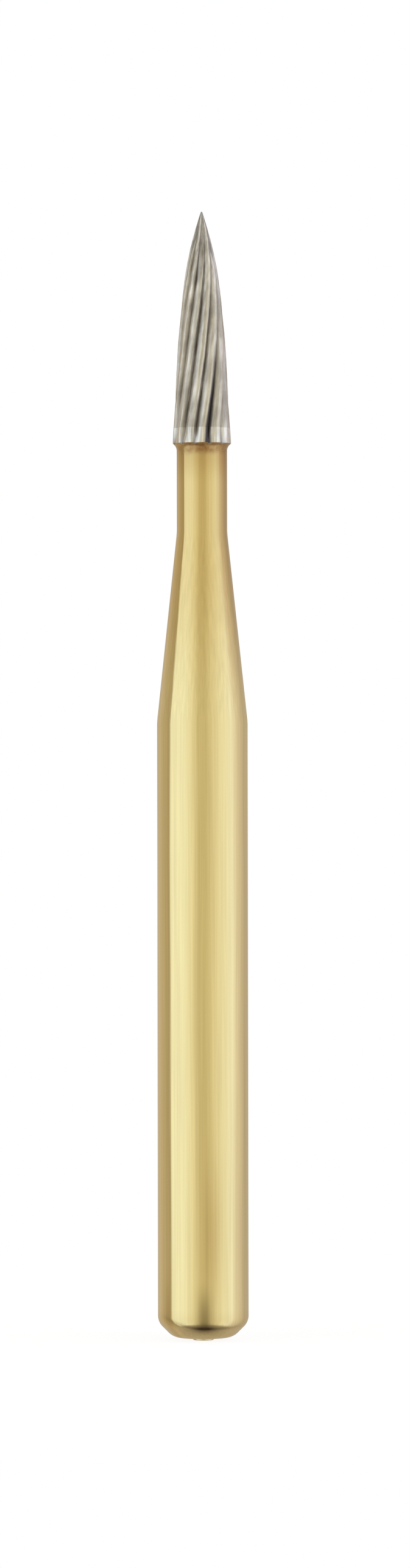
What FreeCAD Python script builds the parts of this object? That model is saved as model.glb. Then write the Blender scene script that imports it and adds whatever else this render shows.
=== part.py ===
"""Friction-grip dental finishing bur, in millimetres, standing on its plain end with the point up.

The steel shank and the carbide cutting head are two solids that meet face to face on a flat ring
just above the head's back corner, where the real pieces are brazed. The helical flutes are ground
through both.
"""
import FreeCAD, Part
import os
import sys

import Sketcher

SIZES = {
    # Plain end of the shank
    "nub_diameter": 0.38,
    "nub_height": 0.045,
    "end_flat_diameter": 1.05,
    "end_bevel_angle": 45.0,
    "end_side_rounding": 0.27,
    "end_flat_rounding": 0.30,
    # Barrel that the chuck grips, shoulder taper and neck
    "shank_diameter": 1.60,
    "shank_length": 10.88,
    "shoulder_length": 3.33,
    "shoulder_blend_radius": 1.50,
    "neck_diameter": 0.89,
    "neck_length": 1.50,
    "neck_fillet_radius": 0.14,
    "back_cone_angle": 45.0,
    "collar_length": 0.27,
    # Outline of the head: a straight taper, then a body arc, then a nose arc that ends in the point
    "head_diameter": 1.03,
    "head_length": 4.08,
    "point_diameter": 0.024,
    "taper_length": 1.60,
    "taper_half_angle": 3.2,
    "body_arc_length": 1.30,
    "body_arc_radius": 15.3,
    # Blades: pairs of one blade that reaches the point and one that stops short of it
    "blade_pairs": 6,
    "first_gullet_angle": 10.8,
    "lead_angle_rate": 19.4,
    "flute_depth": 0.085,
    "flute_exit_depth": 0.025,
    "gullet_width": 0.015,
    "land_width": 0.045,
    "rake_lean": 35.0,
    "point_length": 0.10,
    "short_blade_setback": 0.75,
    "short_blade_ramp": 0.30,
}

# How far a cutter reaches past the surface it cuts, as a share of the radius there
CUTTER_REACH = 0.18
# How far the flute's floor has risen past the surface where the flute ends at the point
RUN_OUT = 0.05
# The cutter that shortens every second blade: its depth as a share of the flute's, and its outer ring
GAP_DEPTH_SHARE = 0.93
GAP_OUTSIDE = 1.3
# An edge further than this from its place is not the one looked for
NEAR = 0.005
# The flute's first sections, up to one above the joint, cut the steel collar
COLLAR_SECTIONS = 4
# Heights of the flute's sections, as shares of the taper, the body arc and the nose
TAPER_SHARES = (0.5, 1.0)
BODY_SHARES = (0.5, 1.0)
NOSE_SHARES = (0.4, 0.7, 0.88)


def make_sheet(doc):
    """Spreadsheet with one named row for each driving size."""
    sheet = doc.addObject("Spreadsheet::Sheet", "Sizes")
    for row, (name, value) in enumerate(SIZES.items(), start=1):
        sheet.set(f"A{row}", name)
        sheet.set(f"B{row}", str(value))
        sheet.setAlias(f"B{row}", name)
    doc.recompute()
    return sheet


class Places:
    """Heights and radii worked out from the driving sizes, each one a named, bound property."""

    def __init__(self, doc):
        self.doc = doc
        self.store = doc.addObject("App::VarSet", "Places")

    def add(self, name, formula):
        self.store.addProperty("App::PropertyFloat", name)
        self.store.setExpression(name, formula)
        return name

    def value(self, name):
        return getattr(self.store, name)


def work_out_places(doc):
    """Work out where each part of the outline begins and ends, from the plain end upwards."""
    places = Places(doc)
    add = places.add
    add("nub_radius", "Sizes.nub_diameter / 2")
    add("nub_top", "Sizes.nub_height")
    add("flat_radius", "Sizes.end_flat_diameter / 2")
    add("shank_radius", "Sizes.shank_diameter / 2")
    add("neck_radius", "Sizes.neck_diameter / 2")
    add("bevel_top", "nub_top + (shank_radius - flat_radius) * tan(Sizes.end_bevel_angle)")
    add("shoulder_foot", "Sizes.shank_length")
    add("neck_foot", "shoulder_foot + Sizes.shoulder_length")
    add("cone_foot", "neck_foot + Sizes.neck_length")
    add("head_radius", "Sizes.head_diameter / 2")
    add("corner", "cone_foot + (head_radius - neck_radius) / tan(Sizes.back_cone_angle)")
    add("joint", "corner + Sizes.collar_length")
    add("tip", "corner + Sizes.head_length")
    add("joint_radius", "head_radius - Sizes.collar_length * tan(Sizes.taper_half_angle)")
    # Blends of the shoulder: two arcs, each tangent to the taper and to the straight run next to it
    add("shoulder_angle", "atan((shank_radius - neck_radius) / Sizes.shoulder_length)")
    add("blend_length", "Sizes.shoulder_blend_radius * tan(shoulder_angle / 2)")
    add("lower_blend_foot", "shoulder_foot - blend_length")
    add("lower_blend_top", "shoulder_foot + blend_length * cos(shoulder_angle)")
    add("lower_blend_top_radius", "shank_radius - blend_length * sin(shoulder_angle)")
    add("lower_blend_centre_radius", "shank_radius - Sizes.shoulder_blend_radius")
    add("upper_blend_foot", "neck_foot - blend_length * cos(shoulder_angle)")
    add("upper_blend_foot_radius", "neck_radius + blend_length * sin(shoulder_angle)")
    add("upper_blend_top", "neck_foot + blend_length")
    add("upper_blend_centre_radius", "neck_radius + Sizes.shoulder_blend_radius")
    # Body arc: tangent to the taper where the taper ends
    add("taper_end", "corner + Sizes.taper_length")
    add("taper_end_radius", "head_radius - Sizes.taper_length * tan(Sizes.taper_half_angle)")
    add("body_centre_radius", "taper_end_radius - Sizes.body_arc_radius * cos(Sizes.taper_half_angle)")
    add("body_centre", "taper_end - Sizes.body_arc_radius * sin(Sizes.taper_half_angle)")
    add("nose_foot", "taper_end + Sizes.body_arc_length")
    add("nose_foot_radius", body_radius("nose_foot"))
    # Nose arc: tangent to the body arc, and through the edge of the blunt point
    add("normal_out", "(nose_foot_radius - body_centre_radius) / Sizes.body_arc_radius")
    add("normal_up", "(nose_foot - body_centre) / Sizes.body_arc_radius")
    add("nose_length", "tip - nose_foot")
    add("point_radius", "Sizes.point_diameter / 2")
    add("nose_depth", "nose_foot_radius - point_radius")
    add(
        "nose_arc_radius",
        "(nose_depth ^ 2 + nose_length ^ 2) / (2 * (nose_depth * normal_out - nose_length * normal_up))",
    )
    add("nose_centre_radius", "nose_foot_radius - nose_arc_radius * normal_out")
    add("nose_centre", "nose_foot - nose_arc_radius * normal_up")
    # Flute section at the head's back corner, as angles round the axis
    add("blade_count", "2 * Sizes.blade_pairs")
    add("pitch", "360 / blade_count")
    add("gullet_radius", "head_radius - Sizes.flute_depth")
    add("lean_angle", "atan(Sizes.flute_depth * tan(Sizes.rake_lean) / head_radius)")
    add("land_angle", "Sizes.land_width / head_radius * 180 / pi")
    add("back_angle", "pitch - lean_angle - land_angle")
    add(
        "back_slope",
        "(head_radius * cos(back_angle) - gullet_radius)"
        " / (head_radius * sin(back_angle) - Sizes.gullet_width)",
    )
    doc.recompute()
    return places


def helix_turn(height):
    """Angle round the axis where the gullet lies at this height."""
    return f"Sizes.first_gullet_angle + ({height} - corner) * Sizes.lead_angle_rate"


def taper_radius(height):
    return f"head_radius - ({height} - corner) * tan(Sizes.taper_half_angle)"


def body_radius(height):
    return f"body_centre_radius + sqrt(Sizes.body_arc_radius ^ 2 - ({height} - body_centre) ^ 2)"


def nose_radius(height):
    return f"nose_centre_radius + sqrt(nose_arc_radius ^ 2 - ({height} - nose_centre) ^ 2)"


def origin_feature(body, role):
    """The body's own origin plane or axis of this role."""
    return next(f for f in body.Origin.OriginFeatures if f.Role == role)


def new_sketch(body, name, role):
    sketch = body.newObject("Sketcher::SketchObject", name)
    sketch.AttachmentSupport = [(origin_feature(body, role), "")]
    sketch.MapMode = "FlatFace"
    return sketch


def bind(sketch, constraint, formula):
    """Add a sketch constraint and bind its value to a formula."""
    index = sketch.addConstraint(constraint)
    sketch.setExpression(f"Constraints[{index}]", formula)


def draw_outline(sketch, places, corners, arcs=None, hollow=()):
    """Closed outline through named corners, as lines, or as arcs where an edge has one.

    Each corner is a pair of place names, and None is a corner on an axis. An arc is given as the
    names of its centre and the formula of its radius. A hollow arc curves into the piece, so its own
    start and end are the other way round.
    """
    arcs = arcs or {}
    own_start = [2 if i in hollow else 1 for i in range(len(corners))]
    own_end = [1 if i in hollow else 2 for i in range(len(corners))]
    points = [FreeCAD.Vector(*(places.value(n) if n else 0.0 for n in corner), 0) for corner in corners]
    for i, start in enumerate(points):
        end = points[(i + 1) % len(points)]
        if i in arcs:
            centre_names, _ = arcs[i]
            centre = FreeCAD.Vector(*(places.value(n) for n in centre_names), 0)
            circle = Part.Circle(centre, FreeCAD.Vector(0, 0, 1), (start - centre).Length)
            ends = (end, start) if i in hollow else (start, end)
            sketch.addGeometry(Part.ArcOfCircle(circle, *(circle.parameter(p) for p in ends)))
        else:
            sketch.addGeometry(Part.LineSegment(start, end))
    for i in range(len(points)):
        following = (i + 1) % len(points)
        sketch.addConstraint(
            Sketcher.Constraint("Coincident", i, own_end[i], following, own_start[following])
        )
        if i in arcs:
            bind(sketch, Sketcher.Constraint("Radius", i, sketch.Geometry[i].Radius), arcs[i][1])
    for i, (across, up) in enumerate(corners):
        for kind, name, axis in (("DistanceX", across, -2), ("DistanceY", up, -1)):
            if name is None:
                sketch.addConstraint(Sketcher.Constraint("PointOnObject", i, own_start[i], axis))
            else:
                distance = Sketcher.Constraint(kind, -1, 1, i, own_start[i], places.value(name))
                bind(sketch, distance, f"Places.{name}")
    return sketch


def revolve(body, sketch):
    turned = body.newObject("PartDesign::Revolution", "Turned")
    turned.Profile = sketch
    turned.ReferenceAxis = (sketch, ["V_Axis"])
    turned.Angle = 360
    return turned


def cutter_heights():
    """Formulas for height, radius and depth of each flute section, from the back corner to the point."""
    full = "Sizes.flute_depth * {radius} / head_radius"
    stations = [
        ("cone_foot", "head_radius", "Sizes.flute_exit_depth"),
        ("corner", "head_radius", "Sizes.flute_exit_depth"),
        ("joint", "joint_radius", full.format(radius="joint_radius")),
    ]
    zones = (
        ("joint", "taper_end", TAPER_SHARES, taper_radius),
        ("taper_end", "nose_foot", BODY_SHARES, body_radius),
        ("nose_foot", "tip", NOSE_SHARES, nose_radius),
    )
    for foot, top, shares, radius_formula in zones:
        for share in shares:
            height = f"({foot} + {share} * ({top} - {foot}))"
            radius = f"({radius_formula(height)})"
            stations.append((height, radius, full.format(radius=radius)))
    height = "(tip - Sizes.point_length)"
    radius = f"({nose_radius(height)})"
    stations.append((height, radius, f"-{RUN_OUT} * {radius}"))
    return stations


def place_cutter_sections(places):
    """Corners of every flute section, in a frame turned with the helix so the gullet lies along X."""
    add = places.add
    sections = []
    for i, (height, radius, depth) in enumerate(cutter_heights()):
        at = f"flute_{i}_"
        add(at + "height", height)
        add(at + "turn", helix_turn(at + "height"))
        add(at + "radius", radius)
        add(at + "root", f"{at}radius - ({depth})")
        add(at + "floor", f"Sizes.gullet_width * {at}radius / head_radius")
        add(at + "back_side", f"{at}radius * (sin(back_angle) + {CUTTER_REACH})")
        add(at + "back_out", f"{at}root + ({at}back_side - {at}floor) * back_slope")
        add(at + "rake_out", f"{at}radius * (1 + {CUTTER_REACH})")
        add(at + "rake_side", f"-({at}rake_out - {at}root) * tan(Sizes.rake_lean)")
        corners = [
            (at + "root", None),
            (at + "root", at + "floor"),
            (at + "back_out", at + "back_side"),
            (at + "rake_out", at + "rake_side"),
        ]
        sections.append((at, corners))
    places.doc.recompute()
    return sections


def place_gap_sections(places):
    """Corners of the cutter that takes every second blade away near the point, gullet to gullet."""
    add = places.add
    full = f"{GAP_DEPTH_SHARE} * Sizes.flute_depth / head_radius"
    stations = [
        ("tip - Sizes.point_length", f"-{RUN_OUT}"),
        ("tip - Sizes.short_blade_setback / 3", full),
        ("tip - Sizes.short_blade_setback * 2 / 3", full),
        ("tip - Sizes.short_blade_setback", full),
        ("tip - Sizes.short_blade_setback - Sizes.short_blade_ramp", f"-{RUN_OUT}"),
    ]
    add("gap_start", "Sizes.gullet_width / head_radius * 90 / pi")
    add("gap_end", "gap_start + pitch")
    sections = []
    for i, (height, depth_share) in enumerate(stations):
        at = f"gap_{i}_"
        add(at + "height", height)
        add(at + "turn", helix_turn(at + "height"))
        add(at + "radius", nose_radius(at + "height"))
        add(at + "floor", f"{at}radius * (1 - {depth_share})")
        add(at + "outside", f"{at}radius * {GAP_OUTSIDE}")
        corners = []
        for side, ring in (("start", "floor"), ("end", "floor"), ("end", "outside"), ("start", "outside")):
            across = add(f"{at}{side}_{ring}_x", f"{at}{ring} * cos(gap_{side})")
            up = add(f"{at}{side}_{ring}_y", f"{at}{ring} * sin(gap_{side})")
            corners.append((across, up))
        sections.append((at, corners))
    places.doc.recompute()
    return sections


def section_sketch(body, places, at, corners):
    """One cutter section, level, at its own height and turned by the helix angle there."""
    sketch = new_sketch(body, at + "section", "XY_Plane")
    turned = FreeCAD.Rotation(FreeCAD.Vector(0, 0, 1), 1)
    sketch.AttachmentOffset = FreeCAD.Placement(FreeCAD.Vector(0, 0, 0), turned)
    sketch.setExpression(".AttachmentOffset.Base.z", f"Places.{at}height")
    sketch.setExpression(".AttachmentOffset.Rotation.Angle", f"Places.{at}turn")
    return draw_outline(sketch, places, corners)


def cut_all_round(body, places, name, sections, count):
    """Loft one cutter through its sections, take it away, and repeat it round the axis."""
    sketches = [section_sketch(body, places, at, corners) for at, corners in sections]
    cut = body.newObject("PartDesign::SubtractiveLoft", name)
    cut.Profile = sketches[0]
    cut.Sections = sketches[1:]
    pattern = body.newObject("PartDesign::PolarPattern", name + "_round")
    pattern.Originals = [cut]
    pattern.Axis = (origin_feature(body, "Z_Axis"), [""])
    pattern.Angle = 360
    pattern.setExpression("Occurrences", count)
    body.Tip = pattern
    return pattern


def round_edge(body, places, name, radius_at, height_at, rounding):
    """Round the circular edge that is nearest to this radius and height."""
    base = body.Tip
    radius, height = places.value(radius_at), places.value(height_at)
    rings = {}
    for number, edge in enumerate(base.Shape.Edges, start=1):
        if isinstance(edge.Curve, Part.Circle):
            rings[number] = abs(edge.Curve.Radius - radius) + abs(edge.Curve.Center.z - height)
    nearest = min(rings, key=rings.get)
    if rings[nearest] > NEAR:
        raise ValueError(f"no edge for {name} at radius {radius} and height {height}")
    fillet = body.newObject("PartDesign::Fillet", name)
    fillet.Base = (base, [f"Edge{nearest}"])
    fillet.setExpression("Radius", rounding)
    places.doc.recompute()
    return fillet


def make_shank(doc, places, flute_sections):
    """Steel shank: plain end, barrel, shoulder taper, neck, back cone and the fluted collar."""
    body = doc.addObject("PartDesign::Body", "shank")
    body.Label = "shank"
    corners = [
        (None, None),
        ("nub_radius", None),
        ("nub_radius", "nub_top"),
        ("flat_radius", "nub_top"),
        ("shank_radius", "bevel_top"),
        ("shank_radius", "lower_blend_foot"),
        ("lower_blend_top_radius", "lower_blend_top"),
        ("upper_blend_foot_radius", "upper_blend_foot"),
        ("neck_radius", "upper_blend_top"),
        ("neck_radius", "cone_foot"),
        ("head_radius", "corner"),
        ("joint_radius", "joint"),
        (None, "joint"),
    ]
    arcs = {
        5: (("lower_blend_centre_radius", "lower_blend_foot"), "Sizes.shoulder_blend_radius"),
        7: (("upper_blend_centre_radius", "upper_blend_top"), "Sizes.shoulder_blend_radius"),
    }
    sketch = new_sketch(body, "shank_outline", "XZ_Plane")
    revolve(body, draw_outline(sketch, places, corners, arcs, hollow=(7,)))
    doc.recompute()
    round_edge(body, places, "end_side", "shank_radius", "bevel_top", "Sizes.end_side_rounding")
    round_edge(body, places, "end_flat", "flat_radius", "nub_top", "Sizes.end_flat_rounding")
    round_edge(body, places, "cone", "neck_radius", "cone_foot", "Sizes.neck_fillet_radius")
    collar_sections = flute_sections[:COLLAR_SECTIONS]
    cut_all_round(body, places, "collar_flute", collar_sections, "Places.blade_count")
    return body


def make_cutting_head(doc, places, flute_sections, gap_sections):
    """Carbide head: turned ogive, helical flutes, and every second blade cut back near the point."""
    body = doc.addObject("PartDesign::Body", "cutting_head")
    body.Label = "cutting_head"
    corners = [
        (None, "joint"),
        ("joint_radius", "joint"),
        ("taper_end_radius", "taper_end"),
        ("nose_foot_radius", "nose_foot"),
        ("point_radius", "tip"),
        (None, "tip"),
    ]
    arcs = {
        2: (("body_centre_radius", "body_centre"), "Sizes.body_arc_radius"),
        3: (("nose_centre_radius", "nose_centre"), "Places.nose_arc_radius"),
    }
    revolve(body, draw_outline(new_sketch(body, "head_outline", "XZ_Plane"), places, corners, arcs))
    doc.recompute()
    cut_all_round(body, places, "flute", flute_sections, "Places.blade_count")
    cut_all_round(body, places, "short_blade_gap", gap_sections, "Sizes.blade_pairs")
    return body


def check_and_export(doc, bodies):
    """Stop on any failed object or bad solid, then write one file for each piece."""
    doc.recompute()
    failed = [o.Name for o in doc.Objects if {"Invalid", "Error"} & set(o.State)]
    bad = [b.Label for b in bodies if b.Shape.isNull() or not b.Shape.isValid()]
    if failed or bad:
        sys.exit(f"failed objects {failed}, bad solids {bad}")
    os.makedirs("parts", exist_ok=True)
    for body in bodies:
        body.Shape.exportStep(f"parts/{body.Label}.step")
        print(body.Label, f"{body.Shape.Volume:.4f} mm3,", len(body.Shape.Faces), "faces")


def main():
    doc = FreeCAD.newDocument("dental_bur")
    make_sheet(doc)
    places = work_out_places(doc)
    flute_sections = place_cutter_sections(places)
    gap_sections = place_gap_sections(places)
    shank = make_shank(doc, places, flute_sections)
    cutting_head = make_cutting_head(doc, places, flute_sections, gap_sections)
    check_and_export(doc, [cutting_head, shank])


if __name__ == "__main__":
    main()
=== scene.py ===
"""Friction-grip dental finishing bur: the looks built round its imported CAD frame.

Lengths are metres in the CAD frame, with the bur standing on its plain end and its point up.
"""

import math

import bpy
import numpy as np
from bpy.props import FloatProperty, FloatVectorProperty, IntProperty, PointerProperty
from bpy.types import Operator, Panel, PropertyGroup
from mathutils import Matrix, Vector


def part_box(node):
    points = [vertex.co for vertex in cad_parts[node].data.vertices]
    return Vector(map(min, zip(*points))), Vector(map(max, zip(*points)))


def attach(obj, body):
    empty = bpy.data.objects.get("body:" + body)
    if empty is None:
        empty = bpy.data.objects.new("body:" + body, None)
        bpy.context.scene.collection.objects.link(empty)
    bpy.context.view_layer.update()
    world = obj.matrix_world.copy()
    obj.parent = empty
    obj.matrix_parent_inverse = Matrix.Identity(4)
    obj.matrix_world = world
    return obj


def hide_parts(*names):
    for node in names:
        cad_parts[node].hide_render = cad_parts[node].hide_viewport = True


bl_info = {
    "name": "Dental finishing bur",
    "version": (1, 0, 0),
    "blender": (4, 5, 0),
    "location": "3D View > Sidebar > Dental bur",
    "description": "Carbide head with twelve helical blades on a gold-finished steel shank",
    "category": "Object",
}

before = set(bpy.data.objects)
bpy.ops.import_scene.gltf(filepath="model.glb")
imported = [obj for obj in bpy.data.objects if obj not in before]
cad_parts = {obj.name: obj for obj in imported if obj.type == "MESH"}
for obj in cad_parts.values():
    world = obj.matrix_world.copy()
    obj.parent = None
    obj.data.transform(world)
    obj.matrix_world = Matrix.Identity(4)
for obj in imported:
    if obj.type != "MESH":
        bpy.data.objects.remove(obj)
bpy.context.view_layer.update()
HEAD_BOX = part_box("cutting_head")

MM = 0.001
# Height where the steel shank ends and the carbide head begins
JOINT = HEAD_BOX[0].z
TIP = HEAD_BOX[1].z
# How far below the joint a point still counts as on it
JOINT_SLACK = 1e-9


def length(text, default, description):
    """Panel property for a length, given here in millimetres."""
    return FloatProperty(
        name=text, default=default * MM, description=description, unit="LENGTH", precision=6, min=0.0
    )


def colour(text, default, description):
    """Panel property for a colour."""
    return FloatVectorProperty(
        name=text, default=default, description=description, subtype="COLOR", size=3, min=0.0, max=1.0
    )


def share(text, default, description):
    """Panel property for a number from 0 to 1."""
    return FloatProperty(
        name=text, default=default, description=description, min=0.0, max=1.0, subtype="FACTOR"
    )


class BladeSizes(PropertyGroup):
    """Sizes of the helical blades on the head and the steel collar."""

    corner: length("Back corner height", 15.78, "Height of the head's back corner, its widest place")
    head_diameter: length("Head diameter", 1.03, "Diameter across the blades at the back corner")
    taper_length: length("Taper length", 1.60, "Straight taper from the back corner up")
    taper_angle: FloatProperty(
        name="Taper half-angle",
        default=math.radians(3.2),
        subtype="ANGLE",
        description="Slope of the taper",
    )
    body_arc_length: length("Body arc length", 1.30, "Height of the long arc above the taper")
    body_arc_radius: length("Body arc radius", 15.3, "Radius of the long arc above the taper")
    point_radius: length("Point radius", 0.012, "Radius of the blunt point")
    blade_pairs: IntProperty(name="Blade pairs", default=6, description="Pairs of a long and a short blade")
    lead: FloatProperty(name="Lead", default=19.4, description="Turn of the helix, degrees a millimetre")
    phase: FloatProperty(name="Phase", default=10.8, description="Angle of the first gullet, in degrees")
    depth: length("Flute depth", 0.085, "Depth of the flutes where the head is widest")
    gullet_share: share("Gullet share", 0.03, "Share of the pitch that the gullet's floor takes")
    land_share: share("Land share", 0.17, "Share of the pitch that the land takes")
    wall_share: share("Rake wall share", 0.22, "Share of the pitch that the leaning rake wall takes")
    back_power: FloatProperty(name="Back hollow", default=1.8, description="Power of the back's rise")
    wall_power: FloatProperty(name="Wall power", default=1.0, description="Power of the rake wall's fall")
    softness: share("Edge softness", 0.024, "Share of the pitch over which the blades' edges are rounded")
    exit_depth: length("Flute exit depth", 0.025, "Depth of the flutes at the back corner")
    collar_lead: FloatProperty(
        name="Collar lead", default=7.0, description="Turn on the collar, degrees a millimetre"
    )


class ShankSizes(PropertyGroup):
    """Sizes of the shank's outline."""

    nub_diameter: length("Nub diameter", 0.38, "Small nub in the middle of the plain end")
    nub_height: length("Nub height", 0.045, "Height of that nub")
    end_flat_diameter: length("End flat diameter", 1.05, "Flat of the plain end inside its rounding")
    end_side_rounding: length("End side rounding", 0.27, "Rounding between the side and the bevel")
    end_flat_rounding: length("End flat rounding", 0.30, "Rounding between the bevel and the flat")
    diameter: length("Shank diameter", 1.60, "Diameter of the barrel that the chuck grips")
    barrel_length: length("Barrel length", 10.88, "Height where the shoulder starts")
    shoulder_length: length("Shoulder length", 3.33, "Height of the shoulder's taper")
    shoulder_blend: length("Shoulder blend", 1.50, "Radius that eases the shoulder in and out")
    neck_diameter: length("Neck diameter", 0.89, "Diameter of the neck")
    neck_length: length("Neck length", 1.50, "Height of the straight neck")
    neck_fillet: length("Neck fillet", 0.14, "Hollow below the head's back cone")
    nub_rounding: length("Nub rounding", 0.022, "Rounding of the nub's edge and foot")
    corner_rounding: length("Corner rounding", 0.004, "Rounding of the head's back corner")


class Finishes(PropertyGroup):
    """Colours and gloss of the two metals, and the painted shade in their flutes."""

    gold: colour("Gold finish", (0.90, 0.75, 0.35), "Colour of the barrel's gold finish")
    deep_gold: colour("Deep gold", (0.81, 0.63, 0.265), "Deeper gold of the neck and the shoulder")
    gold_roughness: share("Gold roughness", 0.07, "Roughness of the gold finish")
    # Roughness where the painted shade under the collar lies
    under_collar_roughness: share("Under-collar roughness", 0.32, "Roughness of the browned gold under the collar")
    steel: colour("Bare steel", (0.98, 0.945, 0.82), "Colour of the ground steel collar")
    # Painted shade: the darker colour that the collar's flutes are ramped to down to their floors
    steel_flute_shade: colour("Steel flute shade", (0.52, 0.48, 0.45), "Colour of the collar's flutes")
    steel_roughness: share("Steel roughness", 0.36, "Roughness of the ground steel")
    carbide: colour("Carbide", (0.745, 0.705, 0.60), "Colour of the carbide head")
    carbide_roughness: share("Carbide roughness", 0.46, "Roughness of the ground carbide")
    # Painted shade: the dark colour that the carbide flutes are ramped to down in their gullets
    gullet: colour("Gullet", (0.22, 0.19, 0.17), "Colour of the darkened metal down in the flutes")
    # Painted shade: the near-black colour painted on the flutes' rake walls and the foot of the next back,
    # as shade falls there
    flute_shade: colour("Flute shade", (0.085, 0.074, 0.074), "Colour of the grinding residue left in the flutes")


class StageLook(PropertyGroup):
    """Camera distance and the floor's colour."""

    distance: length("Camera distance", 110.0, "Distance of the camera from the bur's axis")
    floor: colour("Floor", (0.93, 0.93, 0.92), "Colour of the floor")


# Mesh making


def skin(name, grid, masks):
    """Closed piece from a grid of points.

    The grid is rows by columns by three, each row a ring round the axis, from the bottom up. Each ring
    is joined to the next and round on itself, and a point at the middle of the first and of the last
    ring closes the ends. Faces are wound so that they look outwards. A mask holds one number, or one
    vector, for each point, and the end points take the mean of their ring.
    """
    rows, columns, _ = grid.shape
    ring = np.arange(columns)
    after = np.roll(ring, -1)
    lower = (np.arange(rows - 1) * columns)[:, None]
    upper = lower + columns
    sides = np.stack([lower + ring, lower + after, upper + after, upper + ring], axis=-1)
    bottom, top = rows * columns, rows * columns + 1
    last = (rows - 1) * columns
    foot = np.stack([after, ring, np.full(columns, bottom)], axis=-1)
    head = np.stack([last + ring, last + after, np.full(columns, top)], axis=-1)
    points = np.concatenate([grid.reshape(-1, 3), [grid[0].mean(0), grid[-1].mean(0)]])
    mesh = bpy.data.meshes.new(name)
    mesh.from_pydata(points, [], sides.reshape(-1, 4).tolist() + foot.tolist() + head.tolist())
    for mask, values in masks.items():
        kind, field = ("FLOAT_VECTOR", "vector") if values.ndim == 3 else ("FLOAT", "value")
        flat = values.reshape(rows * columns, -1)
        full = np.concatenate([flat, flat[:columns].mean(0)[None], flat[-columns:].mean(0)[None]])
        mesh.attributes.new(mask, kind, "POINT").data.foreach_set(field, full.ravel().astype(np.float32))
    mesh.shade_smooth()
    mesh.set_sharp_from_angle(angle=math.radians(24))
    piece = bpy.data.objects.new(name, mesh)
    bpy.context.scene.collection.objects.link(piece)
    return piece


def divided(points, steps):
    """Outline with each of its runs divided evenly, into pieces of at most that run's step."""
    gaps = np.linalg.norm(np.diff(points, axis=0), axis=1)
    counts = np.maximum(1, np.ceil(gaps / steps)).astype(int)
    runs = [a + (b - a) * np.arange(n)[:, None] / n for a, b, n in zip(points, points[1:], counts)]
    return np.concatenate(runs + [points[-1:]])


def rounded_outline(corners, radii, arc_steps, run_step):
    """Outline through the corners with each one rounded.

    A corner of radius r is replaced by the arc of radius r that touches both of its sides. Its middle
    lies on the corner's halving line at r divided by the sine of half the angle between the sides. The
    straight runs between arcs are divided into steps of at most run_step.
    """
    corners = np.asarray(corners, float)
    outline = [corners[:1]]
    for before, here, following, radius in zip(corners, corners[1:], corners[2:], radii):
        back, on = before - here, following - here
        back, on = back / np.linalg.norm(back), on / np.linalg.norm(on)
        half = math.acos(np.clip(back @ on, -1, 1)) / 2
        bisector = (back + on) / np.linalg.norm(back + on)
        centre = here + bisector * radius / math.sin(half)
        start, end = here + back * radius / math.tan(half), here + on * radius / math.tan(half)
        turn = np.linspace(0, 1, arc_steps)[:, None]
        across = (start - centre) * (1 - turn) + (end - centre) * turn
        outline.append(centre + across / np.linalg.norm(across, axis=1)[:, None] * radius)
    outline.append(corners[-1:])
    points = np.concatenate(outline)
    return divided(points, np.full(len(points) - 1, run_step))


# Blades

# Columns of one tooth: up its hollow back, over its land, and down its rake wall to the next gullet
BACK_COLUMNS, LAND_COLUMNS, WALL_COLUMNS = 8, 3, 5
# Places on the pitch at which a tooth's outline is averaged
FINE_COLUMNS = 512


def tooth_outline(b):
    """Places of a tooth's columns as shares of the pitch, and how deep each lies as shares of the depth.

    From the gullet the back rises as a power of the way left to the land. The land is level, and the
    rake wall falls from its edge to the next gullet along a quarter of a cosine wave. The whole is
    then averaged under a bell curve, as wide as the softness, so that its edges are worn round.
    """
    foot, heel, edge = b.gullet_share, 1 - b.wall_share - b.land_share, 1 - b.wall_share
    up = np.linspace(0, 1, BACK_COLUMNS, endpoint=False)
    down = np.linspace(0, 1, WALL_COLUMNS, endpoint=False)
    places = [foot + (heel - foot) * up, np.linspace(heel, edge, LAND_COLUMNS, endpoint=False)]
    places.append(edge + (1 - edge) * down)
    depths = [(1 - up) ** b.back_power, np.zeros(LAND_COLUMNS)]
    depths.append(1 - np.cos(down * math.pi / 2) ** b.wall_power)
    places, depths = np.concatenate(places), np.concatenate(depths)
    fine = np.arange(FINE_COLUMNS) / FINE_COLUMNS
    bell = np.exp(-(((fine + 0.5) % 1 - 0.5) ** 2) / (2 * b.softness**2))
    sharp = np.interp(fine, places, depths, period=1)
    soft = np.fft.ifft(np.fft.fft(sharp) * np.fft.fft(bell / bell.sum())).real
    return places, np.interp(places, fine, soft - soft.min(), period=1)


def head_radius(z, b):
    """Radius of the head's blank at a height.

    A straight taper runs up from the back corner, then an arc that touches it, then a second arc that
    touches the first and passes through the edge of the blunt point.
    """
    radius, slope = b.head_diameter / 2, math.tan(b.taper_angle)
    foot = b.corner + b.taper_length
    foot_radius = radius - b.taper_length * slope
    body_across = foot_radius - b.body_arc_radius * math.cos(b.taper_angle)
    body_up = foot - b.body_arc_radius * math.sin(b.taper_angle)
    nose = foot + b.body_arc_length
    nose_radius = body_across + math.sqrt(b.body_arc_radius**2 - (nose - body_up) ** 2)
    out, up = (nose_radius - body_across) / b.body_arc_radius, (nose - body_up) / b.body_arc_radius
    drop, rise = nose_radius - b.point_radius, TIP - nose
    arc = (drop**2 + rise**2) / (2 * (drop * out - rise * up))
    across, centre = nose_radius - arc * out, nose - arc * up
    taper = radius - (z - b.corner) * slope
    body = body_across + np.sqrt(np.maximum(b.body_arc_radius**2 - (z - body_up) ** 2, 0))
    point = across + np.sqrt(np.maximum(arc**2 - (z - centre) ** 2, 0))
    return np.where(z < b.corner, radius, np.where(z < foot, taper, np.where(z < nose, body, point)))


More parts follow.
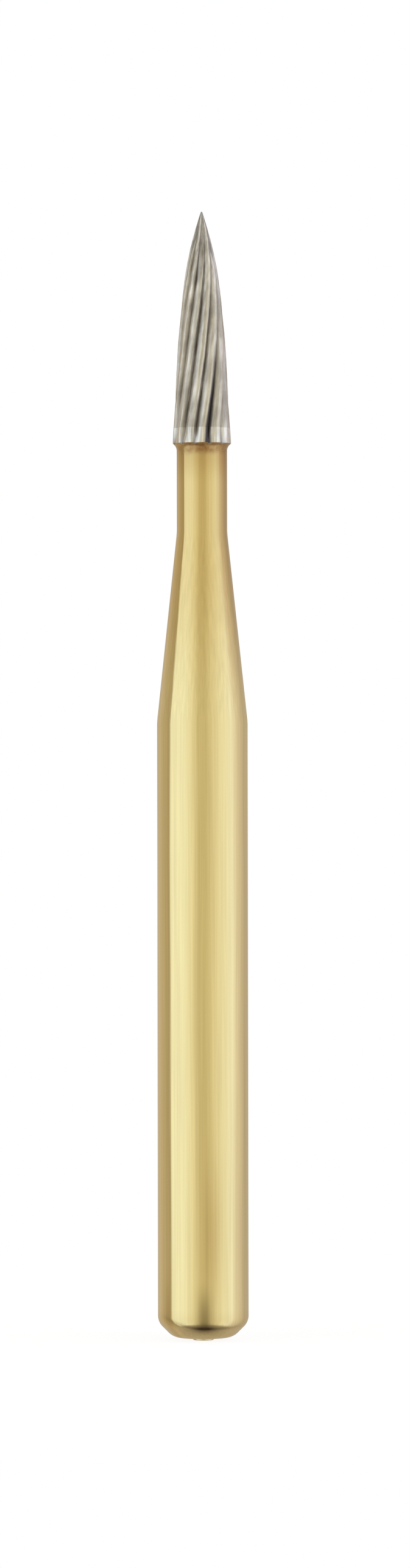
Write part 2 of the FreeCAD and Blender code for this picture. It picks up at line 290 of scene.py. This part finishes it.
def tooth_columns(b):
    """Angle and depth share of each column round the axis: the tooth's outline, once for each blade."""
    blades = 2 * b.blade_pairs
    across, depth = tooth_outline(b)
    pitch = 2 * math.pi / blades
    turn = (np.arange(blades)[:, None] + across).ravel() * pitch
    number = np.repeat(np.arange(blades), len(across))
    return turn, np.tile(depth, blades), number


def ring_points(radius, angle, z):
    """Points at these radii and angles round the axis at these heights."""
    radius, angle, z = np.broadcast_arrays(radius, angle, z)
    return np.stack([radius * np.cos(angle), radius * np.sin(angle), z], axis=-1)


def waves(z, number, seed, longest):
    """Slow unevenness along each blade, from -1 to 1: three sine waves of the height.

    The waves are the longest length, and about a half and a quarter of it, and each blade has its own
    starts and its own small change of length.
    """
    chance = np.random.default_rng(seed)
    total = np.zeros((len(z), len(number)))
    for part, weight in ((1.0, 0.5), (0.47, 0.3), (0.21, 0.2)):
        start = chance.uniform(0, 2 * math.pi, number.max() + 1)[number]
        span = longest * part * chance.uniform(0.8, 1.25, number.max() + 1)[number]
        total += weight * np.sin(2 * math.pi * z / span + start)
    return total


def smooth_step(value, low, high):
    """0 below low, 1 above high, and an S curve of the third degree between."""
    share_up = np.clip((value - low) / (high - low), 0, 1)
    return share_up * share_up * (3 - 2 * share_up)


# How far below the point each short blade starts, in millimetres
SHORT_START = (0.80, 0.95, 0.70, 1.02, 0.86, 0.90)
# How dark the painted shade is in each flute
FLUTE_SHADE = (0.25, 0.35, 0.25, 0.35, 0.30, 0.30, 0.25, 0.35, 0.35, 1.00, 0.30, 0.25)


def flute_shade(b, z, outline, number):
    """How much painted shade lies on the surface, where shade falls in the flutes.

    It lies on each flute's rake wall and the foot of the next back by that flute's own amount, wider
    where there is more of it, and fades out from the middle of the head to the point.
    """
    amounts = np.array(FLUTE_SHADE)
    place = np.tile(tooth_outline(b)[0], 2 * b.blade_pairs)
    heel = 1 - b.wall_share - b.land_share
    rake = 1 - b.wall_share
    wide = amounts**2
    ahead, behind = np.roll(amounts, -1)[number], amounts[number]
    start = rake + 0.10 - (rake + 0.04 - heel) * np.roll(wide, -1)[number]
    end = 0.09 + 0.15 * wide[number]
    ahead = ahead * smooth_step(place, start, start + 0.10)
    behind = behind * smooth_step(-place, -end, 0.02 - 0.06 * wide[number])
    lasting = 1 - smooth_step(z, b.corner + 0.9 * MM, b.corner + 1.9 * MM)
    return np.maximum(ahead, behind) * (0.25 + 0.75 * lasting)


def fluted_head(b, rows=420):
    """Rings of the carbide head: the blank's radius less the flute's depth times the tooth's outline.

    The outline turns with the height at the helix's lead. The depth keeps its share of the radius and
    runs out at the point, and every second blade is lowered towards the gullet above its own height.
    Blades wander a little to the side and in depth, as hand-set grinding leaves them.
    """
    z = np.linspace(JOINT, TIP, rows)[:, None]
    turn, outline, number = tooth_columns(b)
    blank = head_radius(z, b)
    settled = smooth_step(z, JOINT, JOINT + 0.3 * MM)
    depth = b.depth * blank / (b.head_diameter / 2) * (1 + 0.14 * settled * waves(z, number, 3, 1.9 * MM))
    depth = depth * smooth_step(TIP - z, -0.05 * MM, 0.45 * MM)
    starts = np.array(SHORT_START)[(number // 2) % len(SHORT_START)] * MM
    short = smooth_step(z, TIP - starts - 0.20 * MM, TIP - starts + 0.30 * MM) * (1 - number % 2)
    lowered = outline + np.maximum(0.72 - outline, 0) * short
    uneven = 0.0022 * MM * settled * waves(z, number, 5, 0.5 * MM) * (1 - outline)
    side = math.radians(0.55) * settled * waves(z, number, 7, 1.3 * MM)
    flute = math.radians(b.phase) + turn + side
    angle = flute + np.radians((z - b.corner) / MM * b.lead)
    radius = blank - depth * lowered - np.abs(uneven) * smooth_step(TIP - z, 0, 0.3 * MM)
    masks = {
        "groove": lowered,
        "flute_shade": flute_shade(b, z, outline, number),
        "flow": ring_points(blank, flute, z),
    }
    return ring_points(radius, angle, z), masks


# Materials


def add_node(tree, kind, inputs=None, **settings):
    """Add one node, set its settings, and give its inputs their values or links."""
    node = tree.nodes.new(kind)
    for key, value in settings.items():
        setattr(node, key, value)
    for key, value in (inputs or {}).items():
        if isinstance(value, bpy.types.NodeSocket):
            tree.links.new(value, node.inputs[key])
        else:
            node.inputs[key].default_value = value
    return node


def new_material(name):
    """Material with an empty node tree."""
    material = bpy.data.materials.new(name)
    material.use_nodes = True
    material.node_tree.nodes.clear()
    return material


def fill_ramp(node, stops):
    """Set a colour ramp's stops from pairs of place and colour."""
    elements = node.color_ramp.elements
    while len(elements) > 1:
        elements.remove(elements[-1])
    for i, (place, value) in enumerate(stops):
        element = elements[0] if i == 0 else elements.new(place)
        element.position = place
        element.color = (*value, 1.0)
    return node


def noise(tree, place, scale, detail):
    """Value of a noise at this place."""
    inputs = {"Vector": place, "Scale": scale, "Detail": detail}
    return add_node(tree, "ShaderNodeTexNoise", inputs).outputs[0]


def map_range(tree, value, low, high, to_low, to_high):
    """Value mapped from one range to another, and held at its ends."""
    return add_node(
        tree,
        "ShaderNodeMapRange",
        {"Value": value, "From Min": low, "From Max": high, "To Min": to_low, "To Max": to_high},
    ).outputs[0]


# Scales of the grain for each finish, in cycles a metre: across its lines, along them, specks and grit
FLUTE_GRAIN = (26000.0, 1700.0, 45000.0, 20000.0)
GOLD_GRAIN = (26000.0, 350.0, 20000.0, 12000.0)
# Scales of the broad mottling, and of the slow wave round and along the piece
CLOUD_SCALE = 2200.0
WAVE_SCALES = (700.0, 700.0, 170.0)


def metal_grain_group():
    """Node group for grinding lines, speckle, mottling and slow waves on metal.

    Noise is read at a place that is stretched so that the lines run one way. The outputs are a value
    round 0.5 for lines, a mask of small specks, two mottled values, broad and fine, and a slow wave.
    """
    group = bpy.data.node_groups.new("metal_grain", "ShaderNodeTree")
    group.interface.new_socket("Place", in_out="INPUT", socket_type="NodeSocketVector")
    for name in ("Across scale", "Along scale", "Speckle scale", "Grit scale"):
        group.interface.new_socket(name, in_out="INPUT", socket_type="NodeSocketFloat")
    for name in ("Lines", "Speckle", "Cloud", "Grit", "Wave"):
        group.interface.new_socket(name, in_out="OUTPUT", socket_type="NodeSocketFloat")
    inside = add_node(group, "NodeGroupInput").outputs
    stretch = add_node(
        group,
        "ShaderNodeCombineXYZ",
        {"X": inside["Across scale"], "Y": inside["Across scale"], "Z": inside["Along scale"]},
    )
    scaled = add_node(
        group, "ShaderNodeVectorMath", {0: inside["Place"], 1: stretch.outputs[0]}, operation="MULTIPLY"
    )
    slow = add_node(
        group, "ShaderNodeVectorMath", {0: inside["Place"], 1: WAVE_SCALES}, operation="MULTIPLY"
    )
    lines = noise(group, scaled.outputs[0], 1.0, 3.0)
    wave = noise(group, slow.outputs[0], 1.0, 1.0)
    place = inside["Place"]
    speckle = noise(group, place, inside["Speckle scale"], 2.0)
    spots = map_range(group, speckle, 0.64, 0.72, 0, 1)
    cloud = noise(group, place, CLOUD_SCALE, 4.0)
    grit = noise(group, place, inside["Grit scale"], 3.0)
    outputs = {"Lines": lines, "Speckle": spots, "Cloud": cloud, "Grit": grit, "Wave": wave}
    add_node(group, "NodeGroupOutput", outputs)
    return group


def mix_colour(tree, factor, first, second, blend="MIX"):
    """Colour output of a mix of two colours."""
    node = add_node(tree, "ShaderNodeMix", data_type="RGBA", blend_type=blend)
    for index, value in ((0, factor), (6, first), (7, second)):
        if isinstance(value, bpy.types.NodeSocket):
            tree.links.new(value, node.inputs[index])
        else:
            node.inputs[index].default_value = value
    return node.outputs[2]


def attribute(tree, name, output="Fac"):
    """Value or vector that the piece's mesh holds under this name."""
    node = add_node(tree, "ShaderNodeAttribute", attribute_name=name, attribute_type="GEOMETRY")
    return node.outputs[output]


def grain(tree, place, across, along, speckle, grit):
    """Outputs of the metal grain at this place, with these scales."""
    group = bpy.data.node_groups.get("metal_grain") or metal_grain_group()
    inputs = {"Place": place, "Across scale": across, "Along scale": along}
    inputs.update({"Speckle scale": speckle, "Grit scale": grit})
    return add_node(tree, "ShaderNodeGroup", inputs, node_tree=group).outputs


def bump(tree, height, distance, below=None):
    """Normal of a surface raised by a height of 0 to 1 times this distance."""
    inputs = {"Height": height, "Strength": 1.0, "Distance": distance}
    if below is not None:
        inputs["Normal"] = below
    return add_node(tree, "ShaderNodeBump", inputs).outputs[0]


def tinted(tree, mask, base, tint):
    """Base colour multiplied by the tint where the mask is 1."""
    return mix_colour(tree, mask, base, (*tint, 1), "MULTIPLY")


def ground_flute_group():
    """Node group for the colour of a ground flute.

    The lit and shaded metal's colour is mottled by the cloud, streaked by the lines, covered by the
    painted shade where that lies, and specked.
    """
    group = bpy.data.node_groups.new("ground_flute", "ShaderNodeTree")
    for name in ("Lit and shaded metal", "Flute shade colour"):
        group.interface.new_socket(name, in_out="INPUT", socket_type="NodeSocketColor")
    for name in ("Flute shade", "Cloud", "Lines", "Speckle"):
        group.interface.new_socket(name, in_out="INPUT", socket_type="NodeSocketFloat")
    group.interface.new_socket("Colour", in_out="OUTPUT", socket_type="NodeSocketColor")
    inside = add_node(group, "NodeGroupInput").outputs
    cloud = map_range(group, inside["Cloud"], 0.40, 0.62, 0, 1)
    mottled = tinted(group, cloud, inside["Lit and shaded metal"], (0.80, 0.79, 0.77))
    streaks = map_range(group, inside["Lines"], 0.34, 0.66, 0.74, 1.14)
    streaked = mix_colour(group, 1.0, mottled, streaks, "MULTIPLY")
    # Painted shade laid over the flute where its mask lies
    flute_shaded = mix_colour(group, inside["Flute shade"], streaked, inside["Flute shade colour"])
    specked = tinted(group, inside["Speckle"], flute_shaded, (0.86, 0.85, 0.84))
    add_node(group, "NodeGroupOutput", {"Colour": specked})
    return group


def ground_colour(tree, marks, stops, dark):
    """Colour of a ground flute: a ramp from the land to the gullet that paints shade down the flute, with
    the flute's marks and its painted shade lines on it.
    """
    ramp = add_node(tree, "ShaderNodeValToRGB", {0: attribute(tree, "groove")})
    inputs = {name: marks[name] for name in ("Cloud", "Lines", "Speckle")}
    inputs["Lit and shaded metal"] = fill_ramp(ramp, stops).outputs[0]
    inputs["Flute shade"] = attribute(tree, "flute_shade")
    inputs["Flute shade colour"] = (*dark, 1)
    group = bpy.data.node_groups.get("ground_flute") or ground_flute_group()
    return add_node(tree, "ShaderNodeGroup", inputs, node_tree=group).outputs[0]


def carbide_material(finish):
    """Ground tungsten carbide: grey-brown metal with grinding lines along its flutes, with painted
    highlight on its lands and painted shade down in its gullets.
    """
    material = new_material("ground_carbide")
    tree = material.node_tree
    marks = grain(tree, attribute(tree, "flow", "Vector"), *FLUTE_GRAIN)
    light, gullet = finish.carbide, finish.gullet
    # Painted highlight and shade: the colour is lightened on the lands and darkens down to the gullet
    # colour, as shade falls in the flutes
    stops = [
        (0.0, tuple(c * t for c, t in zip(light, (1.12, 1.11, 1.08)))),
        (0.12, tuple(c * 1.04 for c in light)),
        (0.50, tuple(c * t for c, t in zip(light, (0.88, 0.88, 0.91)))),
        (0.85, tuple(0.45 * a + 0.55 * b for a, b in zip(light, gullet))),
        (1.0, tuple(gullet)),
    ]
    base = ground_colour(tree, marks, stops, finish.flute_shade)
    rough = finish.carbide_roughness
    gritty = bump(tree, marks["Grit"], 0.004 * MM)
    scored = bump(tree, marks["Lines"], 0.003 * MM, gritty)
    surface = add_node(
        tree,
        "ShaderNodeBsdfPrincipled",
        {
            "Base Color": base,
            "Metallic": 1.0,
            "Roughness": map_range(tree, marks["Cloud"], 0.3, 0.7, rough - 0.06, rough + 0.10),
            "Normal": scored,
        },
    )
    add_node(tree, "ShaderNodeOutputMaterial", {"Surface": surface.outputs[0]})
    return material


def shank_material(finish):
    """Steel with a gold finish, tinted, with painted shade under the collar and on the plain end, and bare
    where the flutes were ground, darkening into them as painted shade.
    """
    material = new_material("gold_finished_steel")
    tree = material.node_tree
    bare = attribute(tree, "bare")
    place = add_node(tree, "ShaderNodeTexCoord").outputs["Object"]
    marks = grain(tree, place, *GOLD_GRAIN)
    gold = mix_colour(tree, attribute(tree, "deep"), (*finish.gold, 1), (*finish.deep_gold, 1))
    streaks = map_range(tree, marks["Lines"], 0.30, 0.70, 0.93, 1.05)
    gold = mix_colour(tree, 1.0, gold, streaks, "MULTIPLY")
    # Painted shade warms and darkens the plain end above its shaded spot and up its left; the same tint
    # makes a patch on the barrel warmer and darker
    gold = tinted(tree, attribute(tree, "patch_and_end_shade"), gold, (0.80, 0.73, 0.66))
    # Darker up the right of the shoulder and the neck, and a painted shade band below the shaded part under
    # the collar
    gold = tinted(tree, attribute(tree, "darkening_and_shade"), gold, (0.72, 0.62, 0.54))
    # Painted shade under the collar, mottled by the grit
    under_collar_shade = attribute(tree, "under_collar_shade")
    mottled = map_range(tree, marks["Grit"], 0.36, 0.62, 0.66, 1.0)
    mottled_shade = add_node(tree, "ShaderNodeMath", {0: under_collar_shade, 1: mottled}, operation="MULTIPLY")
    gold = tinted(tree, mottled_shade.outputs[0], gold, (0.45, 0.295, 0.26))
    # Painted shade: a dark spot at the front of the plain end and a thin line rising to both sides
    gold = tinted(tree, attribute(tree, "plain_end_shade"), gold, (0.10, 0.08, 0.07))
    # Painted shade: the bare steel darkens down towards the flutes' floors
    half_way = tuple(c * 0.90 for c in finish.steel)
    stops = [(0.0, tuple(finish.steel)), (0.45, half_way), (1.0, tuple(finish.steel_flute_shade))]
    steel_marks = grain(tree, attribute(tree, "flow", "Vector"), *FLUTE_GRAIN)
    ground = ground_colour(tree, steel_marks, stops, finish.flute_shade)
    base = mix_colour(tree, bare, gold, ground)
    # Rougher where the painted shade under the collar lies
    dull = map_range(tree, under_collar_shade, 0, 1, finish.gold_roughness, finish.under_collar_roughness)
    mix = {0: bare, 2: dull, 3: finish.steel_roughness}
    rough = add_node(tree, "ShaderNodeMix", mix, data_type="FLOAT")
    swayed = bump(tree, marks["Wave"], 0.03 * MM)
    scored = bump(tree, marks["Lines"], 0.0006 * MM, swayed)
    surface = add_node(
        tree,
        "ShaderNodeBsdfPrincipled",
        {"Base Color": base, "Metallic": 1.0, "Roughness": rough.outputs[0], "Normal": scored},
    )
    add_node(tree, "ShaderNodeOutputMaterial", {"Surface": surface.outputs[0]})
    return material


def fit_piece(piece, material, node):
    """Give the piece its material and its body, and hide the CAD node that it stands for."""
    piece.data.materials.append(material)
    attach(piece, "root")
    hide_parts(node)


class BUR_OT_cutting_head(Operator):
    """Carbide head with its helical blades"""

    bl_idname = "bur.cutting_head"
    bl_label = "Cutting head"

    def execute(self, context):
        grid, masks = fluted_head(context.scene.bur_blades)
        piece = skin("carbide_head", grid, masks)
        fit_piece(piece, carbide_material(context.scene.bur_finishes), "cutting_head")
        return {"FINISHED"}


def shank_outline(s, b):
    """Outline of the shank from the plain end up, as pairs of radius and height, finer at both ends."""
    radius, flat = s.diameter / 2, s.end_flat_diameter / 2
    neck, cone_foot = s.neck_diameter / 2, s.barrel_length + s.shoulder_length + s.neck_length
    joint_radius = b.head_diameter / 2 - (JOINT - b.corner) * math.tan(b.taper_angle)
    corners = [
        (0, 0),
        (s.nub_diameter / 2, 0),
        (s.nub_diameter / 2, s.nub_height),
        (flat, s.nub_height),
        (radius, s.nub_height + radius - flat),
        (radius, s.barrel_length),
        (neck, s.barrel_length + s.shoulder_length),
        (neck, cone_foot),
        (b.head_diameter / 2, b.corner),
        (joint_radius, JOINT),
        (0, JOINT),
    ]
    radii = [s.nub_rounding, s.nub_rounding, s.end_flat_rounding, s.end_side_rounding]
    radii += [s.shoulder_blend, s.shoulder_blend, s.neck_fillet, s.corner_rounding, s.corner_rounding / 8]
    outline = rounded_outline(corners, radii, 14, 0.35 * MM)
    fine = (outline[:, 1] < 1.2 * MM) | (outline[:, 1] > cone_foot - 0.9 * MM)
    steps = np.where(fine[:-1] & fine[1:], 0.018 * MM, 0.35 * MM)
    steps = np.where((outline[1:, 1] > cone_foot) & (outline[:-1, 1] < b.corner), 0.004 * MM, steps)
    outline = divided(outline, steps)
    return outline[outline[:, 0] > 1e-6]


def shank_tints_and_shade(s, b, angle, z):
    """Tints on the gold finish, each from 0 to 1.

    The gold is deeper from the shoulder up. Painted shade darkens it under the collar, down to a soft
    edge, most at the front. It is darker up the right of the shoulder and the neck, and a painted shade
    band lies below the shaded part. Painted shade lies at the front of the plain end, a dark spot with a
    thin line that rises to both sides. Painted shade warms the gold above it and up the left of the plain
    end, and a patch on the barrel is warmer.
    """
    x, front = np.sin(angle + math.pi / 2) * s.diameter / 2 / MM, np.sin(-angle)
    neck = s.neck_diameter / s.diameter
    up = z / MM * np.ones_like(x)
    edge = b.corner / MM - 0.150 - 0.008 * np.sin(9 * x)
    # Painted shade under the collar, down to a soft wavy edge, strongest at the front
    under_collar_shade = smooth_step(up, edge - 0.10, edge + 0.04) * (0.35 + 0.65 * np.maximum(front, 0) ** 2)
    deep = smooth_step(up, 11.0, 13.6)
    side = 0.5 * smooth_step(x, 0.42, 0.58)
    # Darker up the right of the shoulder and the neck, and a painted shade band below the shaded part under
    # the collar
    darkening_and_shade = side * smooth_step(up, 11.2, 14.6) + 0.55 * smooth_step(up, 15.0, 15.62) * (1 - under_collar_shade)
    # Painted shade: a dark spot at the front of the plain end and a thin line rising to both sides
    line_height = 0.25 + np.where(x < 0, 0.40, 0.05) * x * x
    line = 0.36 * np.exp(-(((up - line_height) / 0.030) ** 2)) * smooth_step(-np.abs(x), -0.80, -0.40)
    width = 0.13 + 0.16 * (1 - smooth_step(up, 0.22, 0.38))
    height = 0.52 * (1 - smooth_step(up, 0.42, 1.15)) + 0.26 * np.exp(-(((up - 0.28) / 0.08) ** 2))
    spot = height * np.exp(-(((x - 0.02) / width) ** 2)) * smooth_step(up, 0.10, 0.22)
    plain_end_shade = np.clip(line + spot, 0, 1) * (front > 0)
    # A warmer, darker patch on the barrel, and painted shade up the left of the plain end and above its
    # shaded spot
    patch_and_end_shade = 0.8 * np.exp(-(((x - 0.16) / 0.17) ** 2) - ((up - 1.9) / 1.25) ** 2)
    patch_and_end_shade += 0.75 * np.exp(-(((x + 0.62) / 0.07) ** 2)) * (1 - smooth_step(up, 0.35, 1.3))
    patch_and_end_shade = (patch_and_end_shade + 0.35 * (1 - smooth_step(up, 0.30, 0.62))) * (front > 0)
    darkening_and_shade, patch_and_end_shade = np.clip(darkening_and_shade, 0, 1), np.clip(patch_and_end_shade, 0, 1)
    return {"under_collar_shade": under_collar_shade, "deep": deep, "darkening_and_shade": darkening_and_shade, "plain_end_shade": plain_end_shade, "patch_and_end_shade": patch_and_end_shade}


class BUR_OT_shank(Operator):
    """Gold-finished steel shank with its fluted collar"""

    bl_idname = "bur.shank"
    bl_label = "Shank"

    def execute(self, context):
        s, b = context.scene.bur_shank, context.scene.bur_blades
        outline = shank_outline(s, b)
        cone_foot = s.barrel_length + s.shoulder_length + s.neck_length
        r, z = outline[:, 0][:, None], outline[:, 1][:, None]
        turn, tooth, number = tooth_columns(b)
        below = JOINT - np.clip(z, cone_foot, JOINT)
        lean = b.lead * (JOINT - b.corner) - b.collar_lead * below
        angle = math.radians(b.phase) + turn + np.radians(lean / MM)
        full = b.depth * head_radius(JOINT, b) / (b.head_diameter / 2)
        depth = b.exit_depth + (full - b.exit_depth) * smooth_step(z, b.corner - 0.06 * MM, JOINT)
        flute = head_radius(z, b) - depth * tooth
        fluted = z > cone_foot
        bare = np.where(z > b.corner, 1.0, fluted * smooth_step(r - flute, 0.001 * MM, 0.006 * MM))
        # Painted shade over the flutes' run-out below the back corner
        rim = np.where(z < b.corner, 0.75, 0.0)
        masks = {
            "bare": bare * np.ones_like(flute),
            "groove": np.where(z > b.corner, tooth, 0.0) * np.ones_like(flute),
            "flute_shade": np.maximum(flute_shade(b, z, tooth, number), rim) * fluted,
            "flow": ring_points(r * np.ones_like(angle), math.radians(b.phase) + turn, z),
            **shank_tints_and_shade(s, b, angle, z),
        }
        radius = np.where(fluted, np.minimum(r, flute), r)
        # The rings of the joint's flat face keep the fluted outline, drawn in towards the axis
        face = z > JOINT - JOINT_SLACK
        rim_radius = r[face].max()
        radius = np.where(face, np.minimum(rim_radius, flute) * r / rim_radius, radius)
        piece = skin("gold_shank", ring_points(radius, angle, z), masks)
        fit_piece(piece, shank_material(context.scene.bur_finishes), "shank")
        return {"FINISHED"}


# Studio, as the angle round the bur from the camera's side towards the right, with the light there
STUDIO = [
    (-180, (0.50, 0.44, 0.36)),
    (-140, (0.60, 0.53, 0.48)),
    (-92, (0.45, 0.39, 0.32)),
    (-87, (0.98, 1.05, 1.20)),
    (-50, (0.98, 1.05, 1.18)),
    (-28, (0.88, 0.88, 0.85)),
    (-10, (0.67, 0.62, 0.51)),
    (8, (0.64, 0.59, 0.47)),
    (26, (0.80, 0.77, 0.70)),
    (56, (0.92, 0.95, 1.01)),
    (80, (0.96, 1.01, 1.20)),
    (96, (0.79, 0.76, 0.86)),
    (130, (0.53, 0.48, 0.49)),
    (180, (0.50, 0.44, 0.36)),
]
# Colour of the table that the metal shows below the studio's walls
TABLE = (0.48, 0.44, 0.44)
STUDIO_STRENGTH = 1.3


def studio_world():
    """Studio light by direction: two tall softboxes, a darker gap and darker walls, white to the camera.

    Polished metal sees the white backdrop too, in a narrow strip straight behind the bur.
    """
    world = bpy.data.worlds.new("studio")
    world.use_nodes = True
    tree = world.node_tree
    tree.nodes.clear()
    way = add_node(tree, "ShaderNodeTexCoord").outputs["Generated"]
    parts = add_node(tree, "ShaderNodeSeparateXYZ", {0: way})
    ahead = add_node(tree, "ShaderNodeMath", {0: parts.outputs["Y"], 1: -1.0}, operation="MULTIPLY")
    aside = parts.outputs["X"]
    turn = add_node(tree, "ShaderNodeMath", {0: aside, 1: ahead.outputs[0]}, operation="ARCTAN2")
    place = map_range(tree, turn.outputs[0], -math.pi, math.pi, 0, 1)
    stops = [((a + 180) / 360, tuple(v / STUDIO_STRENGTH for v in value)) for a, value in STUDIO]
    ramp = fill_ramp(add_node(tree, "ShaderNodeValToRGB", {0: place}), stops)
    low = map_range(tree, parts.outputs["Z"], -0.84, -0.72, 1, 0)
    room = mix_colour(tree, low, ramp.outputs[0], (*(v / STUDIO_STRENGTH for v in TABLE), 1))
    studio = add_node(tree, "ShaderNodeBackground", {"Color": room, "Strength": STUDIO_STRENGTH})
    white = add_node(tree, "ShaderNodeBackground", {"Color": (1, 1, 1, 1), "Strength": 1.0})
    ray = add_node(tree, "ShaderNodeLightPath").outputs
    glossy, passing = ray["Is Glossy Ray"], ray["Is Transmission Ray"]
    metal = add_node(tree, "ShaderNodeMath", {0: glossy, 1: passing}, operation="MAXIMUM")
    behind = map_range(tree, parts.outputs["Y"], 0.985, 0.99, 0, 1)
    backdrop = add_node(tree, "ShaderNodeMath", {0: metal.outputs[0], 1: behind}, operation="MULTIPLY")
    seen = add_node(
        tree, "ShaderNodeMath", {0: ray["Is Camera Ray"], 1: backdrop.outputs[0]}, operation="MAXIMUM"
    )
    choice = {0: seen.outputs[0], 1: studio.outputs[0], 2: white.outputs[0]}
    shown = add_node(tree, "ShaderNodeMixShader", choice)
    add_node(tree, "ShaderNodeOutputWorld", {"Surface": shown.outputs[0]})
    return world


def floor_material(stage):
    """Pale floor, topped up towards white for the camera, and fully white far from the bur."""
    material = new_material("pale_floor")
    tree = material.node_tree
    ray = add_node(tree, "ShaderNodeLightPath").outputs["Is Camera Ray"]
    place = add_node(tree, "ShaderNodeTexCoord").outputs["Object"]
    away = add_node(tree, "ShaderNodeVectorMath", {0: place}, operation="LENGTH").outputs["Value"]
    near = map_range(tree, away, 0.002, 0.020, 0.16, 0.0)
    cloth = add_node(tree, "ShaderNodeBsdfDiffuse", {"Color": (*stage.floor, 1)})
    glow = add_node(tree, "ShaderNodeEmission", {"Color": (1, 1, 1, 1), "Strength": 1.0})
    top = add_node(tree, "ShaderNodeEmission", {"Color": (1, 1, 1, 1), "Strength": 0.40})
    lit = add_node(tree, "ShaderNodeAddShader", {0: cloth.outputs[0], 1: top.outputs[0]})
    seen = add_node(tree, "ShaderNodeMixShader", {0: near, 1: glow.outputs[0], 2: lit.outputs[0]})
    both = add_node(tree, "ShaderNodeMixShader", {0: ray, 1: cloth.outputs[0], 2: seen.outputs[0]})
    add_node(tree, "ShaderNodeOutputMaterial", {"Surface": both.outputs[0]})
    return material


class BUR_OT_stage(Operator):
    """Floor, studio light and camera"""

    bl_idname = "bur.stage"
    bl_label = "Stage"

    def execute(self, context):
        look = context.scene.bur_stage
        mesh = bpy.data.meshes.new("floor")
        corners = [(x * FLOOR_REACH, y * FLOOR_REACH, 0) for x, y in ((-1, -1), (1, -1), (1, 1), (-1, 1))]
        mesh.from_pydata(corners, [], [(0, 1, 2, 3)])
        floor = bpy.data.objects.new("floor", mesh)
        mesh.materials.append(floor_material(look))
        floor.visible_glossy = False
        context.scene.collection.objects.link(floor)
        context.scene.world = studio_world()
        context.scene.view_settings.view_transform = "Standard"
        data = bpy.data.cameras.new("camera")
        data.sensor_fit = "AUTO"
        data.sensor_width = 36
        data.lens = data.sensor_width / 2 / (PHOTO_HEIGHT_SHOWN / 2 / look.distance)
        data.clip_start, data.clip_end = 0.001, 50
        camera = bpy.data.objects.new("camera", data)
        camera.location = (CAMERA_ASIDE, -look.distance, CAMERA_HEIGHT)
        camera.rotation_euler = (math.pi / 2, math.radians(CAMERA_ROLL), 0)
        context.scene.collection.objects.link(camera)
        context.scene.camera = camera
        return {"FINISHED"}


# Half the floor's side, and where the camera stands and what height it takes in at the bur
FLOOR_REACH = 3.0
PHOTO_HEIGHT_SHOWN = 27.61 * MM
CAMERA_ASIDE = 0.045 * MM
CAMERA_HEIGHT = 9.786 * MM
CAMERA_ROLL = 0.097


class BUR_PT_parts(Panel):
    """Sizes, colours and pieces of the bur"""

    bl_idname = "BUR_PT_parts"
    bl_label = "Dental bur"
    bl_space_type = "VIEW_3D"
    bl_region_type = "UI"
    bl_category = "Dental bur"

    def draw(self, context):
        for group in SETTINGS:
            box = self.layout.box()
            box.label(text=group.replace("bur_", "").capitalize())
            settings = getattr(context.scene, group)
            for key in settings.__annotations__:
                box.prop(settings, key)
        for operator in OPERATORS:
            self.layout.operator(operator.bl_idname)


SETTINGS = {
    "bur_blades": BladeSizes,
    "bur_shank": ShankSizes,
    "bur_finishes": Finishes,
    "bur_stage": StageLook,
}
OPERATORS = (BUR_OT_shank, BUR_OT_cutting_head, BUR_OT_stage)
CLASSES = (*SETTINGS.values(), *OPERATORS, BUR_PT_parts)


def register():
    for item in CLASSES:
        bpy.utils.register_class(item)
    for name, group in SETTINGS.items():
        setattr(bpy.types.Scene, name, PointerProperty(type=group))


def unregister():
    for name in SETTINGS:
        delattr(bpy.types.Scene, name)
    for item in reversed(CLASSES):
        bpy.utils.unregister_class(item)


def main():
    register()
    bpy.ops.bur.shank()
    bpy.ops.bur.cutting_head()
    bpy.ops.bur.stage()


if __name__ == "__main__":
    main()
